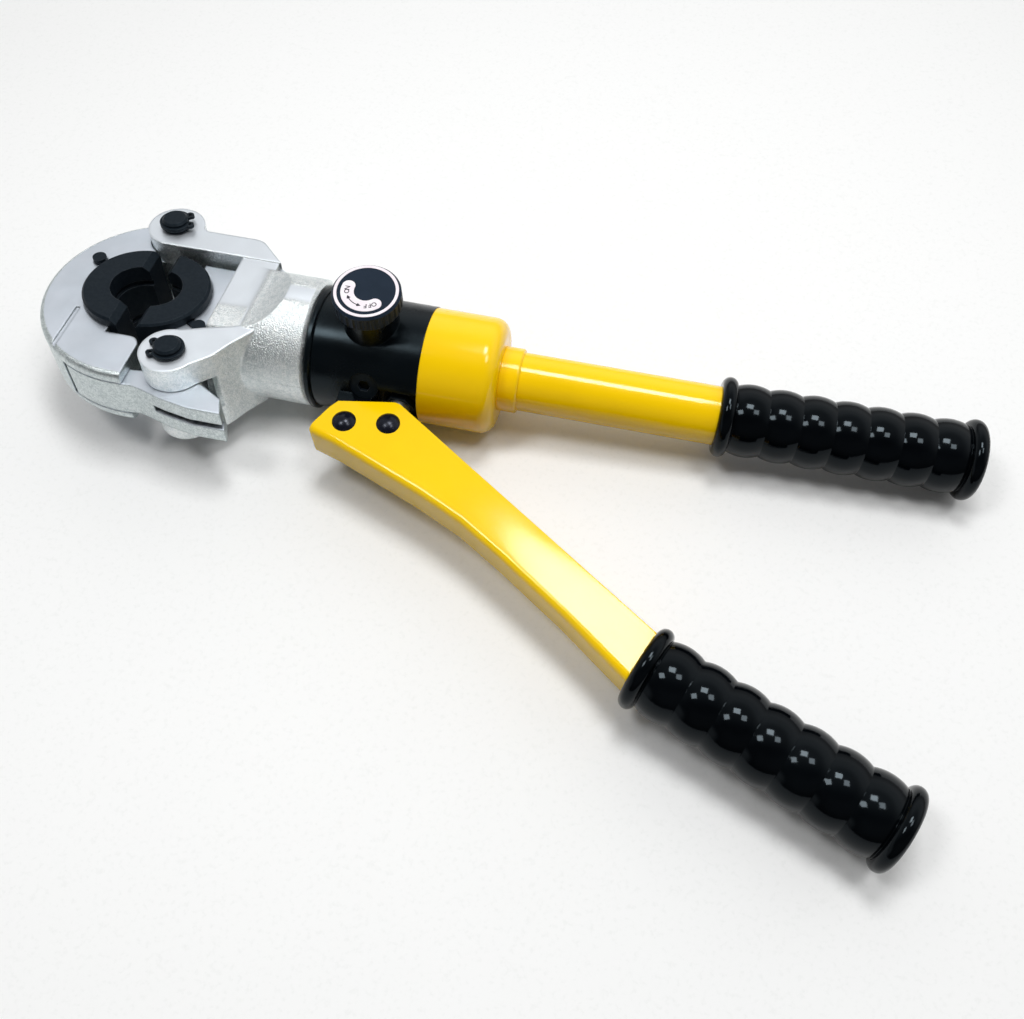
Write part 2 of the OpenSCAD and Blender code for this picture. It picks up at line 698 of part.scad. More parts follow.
module pump_body() {
  color([0.07, 0.07, 0.08]) difference() {
    union() {
      difference() {
        union() {
          rod_x(body_r, body_x, body_end_x);
          translate([knob_x, 0, 0]) rod_z(knob_boss_d / 2, 0, knob_top - knob_h - free_gap);
        }
        // Flat for the lever's cheeks when the lever is squeezed.
        translate([fulcrum_x + lug_r + over, -size_all - relief_y, -half_lever - over])
          cube([size_all, size_all, lever_h + over * 2]);
      }
      // Lug that carries the fulcrum pin.
      slab(-lug_h / 2, lug_h / 2) {
        translate([fulcrum_x, -fulcrum_y]) circle(lug_r);
        translate([fulcrum_x - lug_r, -fulcrum_y]) square([lug_r * 2, fulcrum_y - relief_y + over]);
      }
    }
    rod_x(spigot_r + run_gap, body_x - over, socket_end_x);
    along_x(body_x + spigot_len * 0.22) translate([spigot_r, 0]) circle(swivel_wire_d / 2);
    rod_x(plunger_r / 2, socket_end_x - over, size_all);
    translate([fulcrum_x, -fulcrum_y, 0]) rod_z(lever_pin_r + run_gap, -size_all, size_all);
    // Plunger bore with its way into the oil passage.
    translate([plunger_x, 0, 0]) rotate([90, 0, 0]) {
      translate([0, 0, plunger_in_y - plunger_r * 2]) cylinder(r = plunger_r + run_gap, h = size_all);
      cylinder(r = plunger_r / 3, h = plunger_in_y);
      translate([0, 0, relief_y - plunger_r * 0.6]) cylinder(r = plunger_r * 1.6, h = size_all);
    }
    // Spindle bore with the needle's seat.
    translate([knob_x, 0, 0]) {
      rod_z(spindle_d / 2 + run_gap, spindle_d, size_all);
      rod_z(spindle_d / 6, 0, spindle_d + over);
    }
    // Spot face of the round plug.
    translate([plug_x, 0, 0]) rotate([plug_tilt, 0, 0]) rod_z(plug_d / 2, plug_seat, size_all);
  }
}

plug_tilt = 67;
plug_x = fulcrum_x + lug_r / 2;
plug_seat = body_r - plug_d / 5;

module body_plug() {
  color([0.12, 0.12, 0.13]) translate([plug_x, 0, 0]) rotate([plug_tilt, 0, 0])
    translate([0, 0, plug_seat]) difference() {
      cylinder(d = plug_d - run_gap * 2, h = plug_d / 8);
      cylinder(d = plug_d * 0.45, h = plug_d, $fn = 6);
    }
}

module swivel_wire() {
  color([0.6, 0.6, 0.62]) along_x(body_x + spigot_len * 0.22)
    translate([spigot_r, 0]) circle(swivel_wire_d / 2);
}

module plunger_gland() {
  color([0.55, 0.56, 0.58]) translate([plunger_x, 0, 0]) rotate([90, 0, 0])
    translate([0, 0, relief_y - plunger_r * 0.6]) difference() {
      union() {
        cylinder(r = plunger_r * 1.6, h = plunger_r * 0.6);
        translate([0, 0, plunger_r * 0.6]) cylinder(r = plunger_r * 1.4, h = plunger_r * 0.7, $fn = 6);
      }
      translate([0, 0, -over]) cylinder(r = plunger_r + run_gap, h = size_all);
    }
}

module valve_ball() {
  color([0.7, 0.7, 0.72]) translate([plunger_x - plunger_r * 1.6, 0, 0]) sphere(r = plunger_r / 2 - run_gap);
}

module release_knob() {
  color([0.09, 0.09, 0.1]) translate([knob_x, 0, 0]) difference() {
    rotate_extrude() polygon([[0, knob_top - knob_h / 2], [spindle_d / 2, knob_top - knob_h / 2],
      [spindle_d / 2, knob_top - knob_h], [knob_r - over * 1.4, knob_top - knob_h],
      [knob_r, knob_top - knob_h * 0.8], [knob_r, knob_top - over], [knob_r - over, knob_top],
      [0, knob_top]]);
    for (i = [1 : knob_flutes]) rotate([0, 0, i * 360 / knob_flutes])
      translate([knob_r + over * 0.35, 0, 0]) rod_z(over * 0.9, knob_top - knob_h * 2, knob_top - over * 1.6);
    rotate_extrude() translate([knob_r * 0.84, knob_top - over * 0.5]) square([knob_r * 0.09, over]);
    label_arc(run_gap);
  }
}

label_r = knob_r * 0.54;
label_from = 171;
label_to = 312;

// Curved plate with round ends, set into the knob's face.
module label_arc(gap) {
  translate([0, 0, knob_top - over * 0.5]) linear_extrude(over) {
    intersection() {
      difference() {
        circle(label_r + knob_r * 0.19 + gap);
        circle(label_r - knob_r * 0.19 - gap);
      }
      polygon([[0, 0], size_all * [cos(label_from + 4), sin(label_from + 4)], [-size_all, -size_all],
        size_all * [cos(label_to - 4), sin(label_to - 4)]]);
    }
    for (a = [label_from, label_to]) rotate(a) translate([label_r, 0]) circle(knob_r * 0.19 + gap);
  }
}

module knob_label() {
  color([0.93, 0.92, 0.93]) translate([knob_x, 0, 0]) {
    rotate_extrude() translate([knob_r * 0.84, knob_top - over * 0.5]) square([knob_r * 0.09, over * 0.6]);
    intersection() {
      label_arc(0);
      rod_z(knob_r, 0, knob_top + over * 0.1);
    }
  }
}

module release_spindle() {
  color([0.66, 0.67, 0.7]) translate([knob_x, 0, 0]) rotate_extrude()
    polygon([[0, knob_top - knob_h / 2], [spindle_d / 2, knob_top - knob_h / 2], [spindle_d / 2, spindle_d * 1.6],
      [over / 2, spindle_d + free_gap * 2], [0, spindle_d + free_gap * 2]]);
}

module tank_sleeve() {
  round_r = sleeve_end_x - sleeve_straight_x;
  color([0.98, 0.83, 0.02]) along_x(body_end_x) difference() {
    union() {
      square([sleeve_r, sleeve_straight_x - body_end_x]);
      square([sleeve_r - round_r, sleeve_end_x - body_end_x]);
      translate([sleeve_r - round_r, sleeve_straight_x - body_end_x]) circle(round_r);
    }
    translate([-sleeve_d, -over]) square([sleeve_d + sleeve_r * 0.86, sleeve_straight_x - body_end_x + over]);
    translate([-sleeve_d, -size_all]) square([sleeve_d, size_all * 2]);
    translate([-over, 0]) square([tube_r + over, size_all]);
  }
}

module handle_collar() {
  color([0.97, 0.82, 0.02]) along_x(sleeve_end_x) difference() {
    square([collar_d / 2, collar_end_x - sleeve_end_x]);
    translate([-over, -over]) square([tube_r + over, size_all]);
    translate([collar_d / 2, collar_end_x - sleeve_end_x]) rotate(45) square(over, center = true);
  }
}

grip_end_x = grip_x + grip_len + flange_w / 2;

module handle_tube() {
  color([0.98, 0.83, 0.02]) along_x(sleeve_straight_x) difference() {
    square([tube_r, grip_end_x - flange_w - sleeve_straight_x]);
    translate([-over, -over]) square([tube_r - tube_wall + over, size_all]);
  }
}

module oil_bladder() {
  length = grip_x - sleeve_end_x;
  r = tube_r - tube_wall - free_gap * 0.4;
  color([0.15, 0.15, 0.15]) along_x(sleeve_end_x) difference() {
    union() {
      square([r, length - r]);
      translate([0, length - r]) intersection() {
        circle(r);
        square(r);
      }
    }
    translate([-over, -over]) square([r - tube_wall / 2 + over, length - r + over]);
  }
}

module tube_plug() {
  color([0.3, 0.3, 0.32]) along_x(grip_end_x - flange_w - tube_r) square([tube_r - tube_wall, tube_r]);
}

// Profile of a ribbed grip: rounded flanges at both ends and round ribs between them.
module grip_profile(inner) {
  span = grip_len - flange_w;
  rib_w = span / grip_ribs;
  rib_rise = (rib_d - valley_d) / 2;
  rib_r = (rib_w * rib_w / 4 + rib_rise * rib_rise) / (2 * rib_rise);
  difference() {
    union() {
      translate([0, -flange_w / 2]) square([valley_d / 2 - rib_rise / 2, grip_len + flange_w]);
      for (end = [0, grip_len]) translate([0, end]) {
        translate([flange_r - flange_w / 2, 0]) circle(flange_w / 2);
        translate([0, -flange_w / 2]) square([flange_r - flange_w / 2, flange_w]);
      }
      for (i = [1 : grip_ribs]) translate([0, flange_w / 2 + rib_w * (i - 0.5)]) intersection() {
        translate([rib_d / 2 - rib_r, 0]) circle(rib_r);
        translate([rib_d / 4, -rib_w * 0.7]) square([rib_d, rib_w * 1.4]);
      }
    }
    translate([-size_all, -size_all]) square([size_all, size_all * 2]);
    translate([-over, -flange_w]) square([inner + over, grip_len + flange_w / 2]);
  }
}

module handle_grip() {
  color([0.05, 0.05, 0.055]) along_x(grip_x) grip_profile(tube_r);
}

module at_lever_grip() {
  translate([fulcrum_x + lever_grip_dx, -fulcrum_y - lever_grip_dy, 0]) rotate([0, 0, -lever_angle]) children();
}

module lever_grip() {
  color([0.05, 0.05, 0.055]) at_lever_grip() along_x(0) grip_profile(tang_d / 2);
}

// Side outline of the pressed lever: round the two pins as shares of their distance, along the
// outer bend as shares of the way to the grip, and square to the grip at its end.
lever_pin_shares = [[-0.078, -0.583], [-0.69, -0.396], [-0.755, -0.318], [-0.422, 0.323], [-0.276, 0.505],
  [1.01, 0.734], [1.151, 0.698]];
lever_bend_shares = [[0.75, 0.852], [0.548, 0.609], [0.409, 0.455], [0.2715, 0.339]];

module lever_outline() {
  end_half = tang_d * 0.525;
  back = [-flange_w / 2 * cos(lever_angle), flange_w / 2 * sin(lever_angle)];
  side = [end_half * sin(lever_angle), end_half * cos(lever_angle)];
  grip_at = [lever_grip_dx, -lever_grip_dy] + back;
  polygon(concat([for (p = lever_pin_shares) p * plunger_dx], [grip_at + side, grip_at - side],
    [for (p = lever_bend_shares) [p[0] * lever_grip_dx, -p[1] * lever_grip_dy]]));
}

module pump_lever() {
  inner = half_lever - lever_wall;
  color([0.98, 0.84, 0.02]) difference() {
    union() {
      translate([fulcrum_x, -fulcrum_y, 0]) difference() {
        slab(-half_lever, half_lever) lever_outline();
        slab(-inner, inner) translate([lever_wall * sin(lever_angle), lever_wall * cos(lever_angle)])
          lever_outline();
      }
      at_lever_grip() {
        rod_x(tang_d / 2, -flange_w / 2, grip_len - flange_w);
        rod_x(half_lever - lever_wall / 2, -tang_d * 0.6, 0);
      }
    }
    for (at = lever_pin_places) translate(at) rod_z(lever_pin_r, -size_all, size_all);
  }
}

lever_pin_places = [[fulcrum_x, -fulcrum_y, 0], [plunger_x, -plunger_y, 0]];

// Pin with a dome head at each end.
module lever_pin() {
  dome_r = (pin_head_d * pin_head_d / 4 + pin_head_h * pin_head_h) / (2 * pin_head_h);
  rod_z(lever_pin_r, -half_lever, half_lever);
  both_sides() translate([0, 0, half_lever]) rotate_extrude() intersection() {
    translate([0, pin_head_h - dome_r]) circle(dome_r);
    square([pin_head_d / 2, pin_head_h]);
  }
}

module lever_pins() {
  color([0.1, 0.1, 0.13]) for (at = lever_pin_places) translate(at) lever_pin();
}

module plunger() {
  slot_r = lever_pin_r + free_gap * 1.2;
  color([0.72, 0.74, 0.76]) translate([plunger_x, 0, 0]) difference() {
    union() {
      rotate([90, 0, 0]) translate([0, 0, plunger_in_y]) cylinder(r = plunger_r, h = plunger_y - plunger_in_y);
      translate([-slot_r * 1.9, -plunger_y - slot_r * 1.5, -eye_half])
        cube([slot_r * 3.5, slot_r * 3, eye_half * 2]);
    }
    translate([0, -plunger_y, 0]) {
      rod_z(slot_r, -size_all, size_all);
      translate([-slot_r * 0.6, 0, 0]) rod_z(slot_r, -size_all, size_all);
      translate([-slot_r * 0.6, -slot_r, -size_all]) cube([slot_r * 0.6, slot_r * 2, size_all * 2]);
    }
  }
}

head_frame();
hinge_pin();
lock_pin();
pin_circlips();
lock_spring();
return_spring();
swivel_seal();
latch_jaw();
front_die();
front_button();
lock_lever();
ram();
ram_seal();
die_carrier();
rear_die();
rear_button();
swivel_ring();
pump_body();
swivel_wire();
body_plug();
plunger_gland();
valve_ball();
release_knob();
knob_label();
release_spindle();
tank_sleeve();
handle_collar();
handle_tube();
oil_bladder();
tube_plug();
handle_grip();
pump_lever();
lever_pins();
lever_grip();
plunger();
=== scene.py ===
import math
import bmesh
import bpy
from mathutils import Matrix, Vector


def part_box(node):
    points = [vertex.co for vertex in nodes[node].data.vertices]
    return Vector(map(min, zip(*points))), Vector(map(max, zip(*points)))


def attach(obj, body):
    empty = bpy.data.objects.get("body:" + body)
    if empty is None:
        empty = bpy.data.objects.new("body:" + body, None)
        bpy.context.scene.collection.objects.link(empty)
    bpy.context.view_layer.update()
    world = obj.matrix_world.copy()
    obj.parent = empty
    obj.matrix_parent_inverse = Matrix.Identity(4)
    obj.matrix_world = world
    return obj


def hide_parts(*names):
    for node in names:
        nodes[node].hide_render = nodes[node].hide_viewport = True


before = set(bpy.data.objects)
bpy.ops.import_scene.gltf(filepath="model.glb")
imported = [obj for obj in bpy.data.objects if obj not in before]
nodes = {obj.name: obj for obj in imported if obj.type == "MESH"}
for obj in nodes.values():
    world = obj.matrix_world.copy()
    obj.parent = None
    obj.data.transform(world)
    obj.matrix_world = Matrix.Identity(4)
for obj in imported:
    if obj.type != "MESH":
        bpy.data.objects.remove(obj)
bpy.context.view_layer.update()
scene = bpy.context.scene
scene.view_settings.view_transform = "Standard"
mm = 0.001
print("frame loaded with", len(nodes), "nodes")

# the head is turned a little about the tool's axis
headTurn = math.radians(-9)
headNormal = (0, math.sin(-headTurn), math.cos(headTurn))
headAcross = (0, math.cos(headTurn), math.sin(headTurn))


def headPoint(x, y, z):
    return Vector((x, y * math.cos(headTurn) - z * math.sin(headTurn),
                   y * math.sin(headTurn) + z * math.cos(headTurn))) * mm


# camera where the photograph was taken from
camera = {"place": (0.2283, -0.2632, 0.3856), "turn": (0.96614, 0.23703, 0.02057, 0.09986), "lens": 35.6275}
cameraData = bpy.data.cameras.new("photoCamera")
cameraData.lens = camera["lens"]
cameraData.sensor_width = 36
cameraData.clip_start = 0.01
cameraObject = bpy.data.objects.new("photoCamera", cameraData)
cameraObject.rotation_mode = "QUATERNION"
cameraObject.location = camera["place"]
cameraObject.rotation_quaternion = camera["turn"]
scene.collection.objects.link(cameraObject)
scene.camera = cameraObject
print("camera placed")


def newGroup(name, inputs, outputs):
    tree = bpy.data.node_groups.new(name, "ShaderNodeTree")
    for label, kind, value in inputs:
        socket = tree.interface.new_socket(name=label, in_out="INPUT", socket_type=kind)
        if value is not None:
            socket.default_value = value
    for label, kind in outputs:
        tree.interface.new_socket(name=label, in_out="OUTPUT", socket_type=kind)
    return tree, tree.nodes.new("NodeGroupInput"), tree.nodes.new("NodeGroupOutput")


def math2(tree, operation, first, second, clamp=False):
    node = tree.nodes.new("ShaderNodeMath")
    node.operation = operation
    node.use_clamp = clamp
    for socket, value in zip(node.inputs, (first, second)):
        if isinstance(value, (int, float)):
            socket.default_value = value
        else:
            tree.links.new(value, socket)
    return node.outputs[0]


def remap(tree, value, fromLow, fromHigh, toLow=0.0, toHigh=1.0, kind="SMOOTHSTEP"):
    node = tree.nodes.new("ShaderNodeMapRange")
    node.interpolation_type = kind
    limits = {"From Min": fromLow, "From Max": fromHigh, "To Min": toLow, "To Max": toHigh}
    for name, number in limits.items():
        if isinstance(number, (int, float)):
            node.inputs[name].default_value = number
        else:
            tree.links.new(number, node.inputs[name])
    tree.links.new(value, node.inputs["Value"])
    return node.outputs["Result"]


def noiseOf(tree, scale, detail, rough=0.55, distortion=0.0, vector=None):
    node = tree.nodes.new("ShaderNodeTexNoise")
    settings = {"Scale": scale, "Detail": detail, "Roughness": rough, "Distortion": distortion}
    for name, value in settings.items():
        if isinstance(value, (int, float)):
            node.inputs[name].default_value = value
        else:
            tree.links.new(value, node.inputs[name])
    if vector is None:
        vector = tree.nodes.new("ShaderNodeTexCoord").outputs["Object"]
    tree.links.new(vector, node.inputs["Vector"])
    return node.outputs["Fac"]


# fine even grain, for colour drift and orange peel
grainGroup, gIn, gOut = newGroup(
    "surfaceGrain", [("Scale", "NodeSocketFloat", 800.0), ("Detail", "NodeSocketFloat", 3.0)],
    [("Value", "NodeSocketFloat")])
grainGroup.links.new(noiseOf(grainGroup, gIn.outputs["Scale"], gIn.outputs["Detail"]), gOut.inputs["Value"])

# skin of a sand casting: grain at two sizes and scattered pits
castSkin = {"fine": 0.85, "coarse": 0.45, "coarseScale": 0.3, "pitDepth": 0.5, "pitScale": 0.7,
            "pitEdge": (0.12, 0.4), "shade": (0.5, 0.8)}
castGroup, gIn, gOut = newGroup(
    "castSkin", [("Scale", "NodeSocketFloat", 700.0), ("Pits", "NodeSocketFloat", 0.5)],
    [("Height", "NodeSocketFloat"), ("Shade", "NodeSocketFloat")])
fine = noiseOf(castGroup, gIn.outputs["Scale"], 4.0, 0.62)
coarse = noiseOf(castGroup, math2(castGroup, "MULTIPLY", gIn.outputs["Scale"], castSkin["coarseScale"]), 2.0)
pitCells = castGroup.nodes.new("ShaderNodeTexVoronoi")
castGroup.links.new(castGroup.nodes.new("ShaderNodeTexCoord").outputs["Object"], pitCells.inputs["Vector"])
castGroup.links.new(math2(castGroup, "MULTIPLY", gIn.outputs["Scale"], castSkin["pitScale"]),
                    pitCells.inputs["Scale"])
pitMask = remap(castGroup, pitCells.outputs["Distance"], *castSkin["pitEdge"], 1.0, 0.0)
pits = math2(castGroup, "MULTIPLY", pitMask, gIn.outputs["Pits"])
grainSum = math2(castGroup, "ADD", math2(castGroup, "MULTIPLY", fine, castSkin["fine"]),
                 math2(castGroup, "MULTIPLY", coarse, castSkin["coarse"]))
pitted = math2(castGroup, "SUBTRACT", grainSum, math2(castGroup, "MULTIPLY", pits, castSkin["pitDepth"]))
castGroup.links.new(pitted, gOut.inputs["Height"])
castGroup.links.new(remap(castGroup, grainSum, *castSkin["shade"]), gOut.inputs["Shade"])

# rounded look of the edges, with an edge mask: rubbed wear, and on some finishes painted edge shade and
# highlight
edgeTouch = {"samples": 6, "patchScale": 260.0, "patches": (0.3, 0.62)}
edgeGroup, gIn, gOut = newGroup(
    "edgeTouch", [("Radius", "NodeSocketFloat", 0.0005), ("Gain", "NodeSocketFloat", 4.0)],
    [("EdgeMark", "NodeSocketFloat"), ("Normal", "NodeSocketVector")])
rounder = edgeGroup.nodes.new("ShaderNodeBevel")
rounder.samples = edgeTouch["samples"]
edgeGroup.links.new(gIn.outputs["Radius"], rounder.inputs["Radius"])
flatNormal = edgeGroup.nodes.new("ShaderNodeNewGeometry").outputs["Normal"]
likeness = edgeGroup.nodes.new("ShaderNodeVectorMath")
likeness.operation = "DOT_PRODUCT"
edgeGroup.links.new(rounder.outputs["Normal"], likeness.inputs[0])
edgeGroup.links.new(flatNormal, likeness.inputs[1])
turned = math2(edgeGroup, "SUBTRACT", 1.0, likeness.outputs["Value"])
edgeWearAndPaintedLight = math2(edgeGroup, "MULTIPLY", math2(edgeGroup, "MULTIPLY", turned, gIn.outputs["Gain"]),
               remap(edgeGroup, noiseOf(edgeGroup, edgeTouch["patchScale"], 3.0), *edgeTouch["patches"]),
               clamp=True)
edgeGroup.links.new(edgeWearAndPaintedLight, gOut.inputs["EdgeMark"])
edgeGroup.links.new(rounder.outputs["Normal"], gOut.inputs["Normal"])

# roughness that drifts where hands and rags have been
handledSheen = {"patches": (0.32, 0.68), "paintScale": 40.0, "zincScale": 60.0, "tableScale": 8.0}
sheenGroup, gIn, gOut = newGroup(
    "handledSheen", [("Scale", "NodeSocketFloat", 40.0), ("Low", "NodeSocketFloat", 0.2),
                     ("High", "NodeSocketFloat", 0.4)], [("Rough", "NodeSocketFloat")])
drift = noiseOf(sheenGroup, gIn.outputs["Scale"], 4.0, 0.6, 0.4)
drifted = remap(sheenGroup, drift, *handledSheen["patches"], gIn.outputs["Low"], gIn.outputs["High"])
sheenGroup.links.new(drifted, gOut.inputs["Rough"])

# painted shade: a piece's own corners and slots darkened by how closed in they are, in uneven patches
paintedCornerShade = {"samples": 8, "corner": (0.3, 0.68), "patchScale": 420.0, "patches": (0.3, 0.7),
               "patchLeast": 0.75}
paintedShadeGroup, gIn, gOut = newGroup(
    "paintedCornerShade", [("Reach", "NodeSocketFloat", 0.008), ("Most", "NodeSocketFloat", 0.9)],
    [("Mask", "NodeSocketFloat")])
openness = paintedShadeGroup.nodes.new("ShaderNodeAmbientOcclusion")
openness.samples = paintedCornerShade["samples"]
openness.only_local = True
paintedShadeGroup.links.new(gIn.outputs["Reach"], openness.inputs["Distance"])
patchy = remap(paintedShadeGroup, noiseOf(paintedShadeGroup, paintedCornerShade["patchScale"], 3.0), *paintedCornerShade["patches"],
               paintedCornerShade["patchLeast"], 1.0)
cornerShading = math2(paintedShadeGroup, "MULTIPLY",
                remap(paintedShadeGroup, openness.outputs["AO"], *paintedCornerShade["corner"], 1.0, 0.0), patchy)
paintedShadeGroup.links.new(math2(paintedShadeGroup, "MULTIPLY", cornerShading, gIn.outputs["Most"]), gOut.inputs["Mask"])
print("shared effects made")


def useGroup(tree, group, **values):
    node = tree.nodes.new("ShaderNodeGroup")
    node.node_tree = group
    for name, value in values.items():
        node.inputs[name].default_value = value
    return node


def mixColour(tree, factor, first, second):
    node = tree.nodes.new("ShaderNodeMix")
    node.data_type = "RGBA"
    colourA, colourB = [s for s in node.inputs if s.type == "RGBA"]
    for socket, value in ((colourA, first), (colourB, second)):
        if isinstance(value, tuple):
            socket.default_value = value + (1.0,)
        else:
            tree.links.new(value, socket)
    tree.links.new(factor, node.inputs["Factor"])
    return [s for s in node.outputs if s.type == "RGBA"][0]


def startMaterial(name, spec):
    material = bpy.data.materials.new(name)
    material.use_nodes = True
    tree = material.node_tree
    shader = tree.nodes["Principled BSDF"]
    shader.inputs["Metallic"].default_value = spec.get("metal", 0.0)
    shader.inputs["Specular IOR Level"].default_value = spec.get("specular", 0.5)
    shader.inputs["Specular Tint"].default_value = spec.get("glint", (1.0, 1.0, 1.0)) + (1.0,)
    return material, tree, shader


# one finish for every plain material: drifting colour, edge colour, handled sheen and a little relief
def finishMaterial(name, spec):
    material, tree, shader = startMaterial(name, spec)
    grain = useGroup(tree, grainGroup, Scale=spec["grain"], Detail=3.0)
    edge = useGroup(tree, edgeGroup, Radius=spec["edge"], Gain=spec["edgeGain"])
    sheen = useGroup(tree, sheenGroup, Scale=handledSheen["paintScale"], Low=spec["rough"][0],
                     High=spec["rough"][1])
    body = mixColour(tree, remap(tree, grain.outputs["Value"], 0.35, 0.65), spec["colour"], spec["tint"])
    tree.links.new(mixColour(tree, edge.outputs["EdgeMark"], body, spec["edgeWearAndPaintedLight"]), shader.inputs["Base Color"])
    tree.links.new(sheen.outputs["Rough"], shader.inputs["Roughness"])
    bump = tree.nodes.new("ShaderNodeBump")
    bump.inputs["Strength"].default_value = 1.0
    bump.inputs["Distance"].default_value = spec["relief"]
    peel = useGroup(tree, grainGroup, Scale=spec.get("peel", spec["grain"]), Detail=2.0)
    tree.links.new(peel.outputs["Value"], bump.inputs["Height"])
    tree.links.new(edge.outputs["Normal"], bump.inputs["Normal"])
    tree.links.new(bump.outputs["Normal"], shader.inputs["Normal"])
    return material


def along(tree, vector, direction):
    node = tree.nodes.new("ShaderNodeVectorMath")
    node.operation = "DOT_PRODUCT"
    node.inputs[1].default_value = direction
    tree.links.new(vector, node.inputs[0])
    return node.outputs["Value"]


# zinc plated casting: satin on the milled flats, grainy on the rest and on the neck's unmilled shoulder
def zincMaterial(name, spec):
    material, tree, shader = startMaterial(name, spec)
    coords = tree.nodes.new("ShaderNodeTexCoord")
    facing = along(tree, coords.outputs["Normal"], headNormal)
    milled = remap(tree, math2(tree, "ABSOLUTE", facing, 0.0), *spec["milled"])
    if spec["shoulder"]:
        across = along(tree, coords.outputs["Object"], headAcross)
        height = along(tree, coords.outputs["Object"], headNormal)
        shoulder = math2(tree, "MULTIPLY", remap(tree, across, *spec["shoulder"]["across"]),
                         remap(tree, height, *spec["shoulder"]["top"], 1.0, 0.0))
        milled = math2(tree, "MULTIPLY", milled, math2(tree, "SUBTRACT", 1.0, shoulder))
    skin = useGroup(tree, castGroup, Scale=spec["cast"], Pits=spec["pits"])
    edge = useGroup(tree, edgeGroup, Radius=spec["edge"], Gain=spec["edgeGain"])
    satin = useGroup(tree, sheenGroup, Scale=handledSheen["zincScale"], Low=spec["satin"][0],
                     High=spec["satin"][1])
    stain = useGroup(tree, grainGroup, Scale=spec["stain"], Detail=4.0)
    raw = mixColour(tree, skin.outputs["Shade"], spec["dark"], spec["colour"])
    plate = mixColour(tree, remap(tree, stain.outputs["Value"], 0.35, 0.7), spec["flat"], spec["tint"])
    # painted shade: near black mixed into the piece's own corners and slots, which also lose their metal
    # there
    paintedShade = useGroup(tree, paintedShadeGroup, Reach=spec["paintedShadeReach"], Most=spec["paintedShadeMost"])
    body = mixColour(tree, paintedShade.outputs["Mask"], mixColour(tree, milled, raw, plate), spec["paintedShade"])
    # edge colour: rubbed wear on the neck, painted dark shade along the rims on the jaw zinc
    tree.links.new(mixColour(tree, edge.outputs["EdgeMark"], body, spec["edgeWearAndPaintedLight"]), shader.inputs["Base Color"])
    unshadedMetal = remap(tree, paintedShade.outputs["Mask"], 0.1, 1.0, 1.0, 0.1)  # the painted shade is dull as well as dark
    tree.links.new(unshadedMetal, shader.inputs["Metallic"])
    roughMix = tree.nodes.new("ShaderNodeMix")
    tree.links.new(milled, roughMix.inputs["Factor"])
    roughMix.inputs["A"].default_value = spec["rawRough"]
    tree.links.new(satin.outputs["Rough"], roughMix.inputs["B"])
    tree.links.new(roughMix.outputs["Result"], shader.inputs["Roughness"])
    bump = tree.nodes.new("ShaderNodeBump")
    bump.inputs["Strength"].default_value = 1.0
    bump.inputs["Distance"].default_value = spec["relief"]
    calm = remap(tree, milled, 0.0, 1.0, 1.0, spec["flatRelief"], kind="LINEAR")
    tree.links.new(math2(tree, "MULTIPLY", skin.outputs["Height"], calm), bump.inputs["Height"])
    tree.links.new(edge.outputs["Normal"], bump.inputs["Normal"])
    tree.links.new(bump.outputs["Normal"], shader.inputs["Normal"])
    return material


zincNeck = {"metal": 1.0, "colour": (0.95, 0.98, 0.98), "dark": (0.7, 0.76, 0.77),
            "flat": (0.84, 0.89, 0.94), "tint": (0.85, 0.9, 0.95), "edgeWearAndPaintedLight": (0.9, 0.94, 0.96),
            "edge": 0.0015, "edgeGain": 0.4, "cast": 1500.0, "pits": 0.6, "stain": 45.0,
            "satin": (0.4, 0.5), "rawRough": 0.32, "relief": 0.0005, "flatRelief": 0.07,
            "milled": (0.98, 0.995), "shoulder": {"across": (-0.003, -0.007), "top": (0.0216, 0.0218)},
            # colour, reach and strength of the painted corner shade
            "paintedShade": (0.012, 0.014, 0.016), "paintedShadeReach": 0.009, "paintedShadeMost": 0.92}
# the jaw zinc's dark edge colour with its strong gain is painted shade: a dark line along the rims and steps
zincJaw = dict(zincNeck, flat=(0.7, 0.76, 0.83), tint=(0.75, 0.8, 0.87), cast=2200.0, pits=0.35,
               relief=0.0002, flatRelief=0.15, rawRough=0.36, edge=0.0014, colour=(0.7, 0.75, 0.75),
               dark=(0.42, 0.48, 0.49), edgeWearAndPaintedLight=(0.34, 0.39, 0.44), edgeGain=2.6, shoulder=None)
yellowPaint = {"colour": (1.0, 0.64, 0.0006), "tint": (0.97, 0.615, 0.0006), "edgeWearAndPaintedLight": (1.0, 0.7, 0.01),
               "grain": 30.0, "peel": 420.0, "relief": 0.000012, "rough": (0.09, 0.14), "edge": 0.0007,
               "edgeGain": 0.6, "specular": 0.42}
blackPaint = {"colour": (0.0012, 0.0022, 0.0032), "tint": (0.002, 0.003, 0.0042),
              "edgeWearAndPaintedLight": (0.02, 0.025, 0.03), "grain": 60.0, "peel": 500.0, "relief": 0.00002,
              "rough": (0.22, 0.3), "edge": 0.0005, "edgeGain": 1.0, "specular": 0.22,
              "glint": (0.66, 0.88, 1.0)}
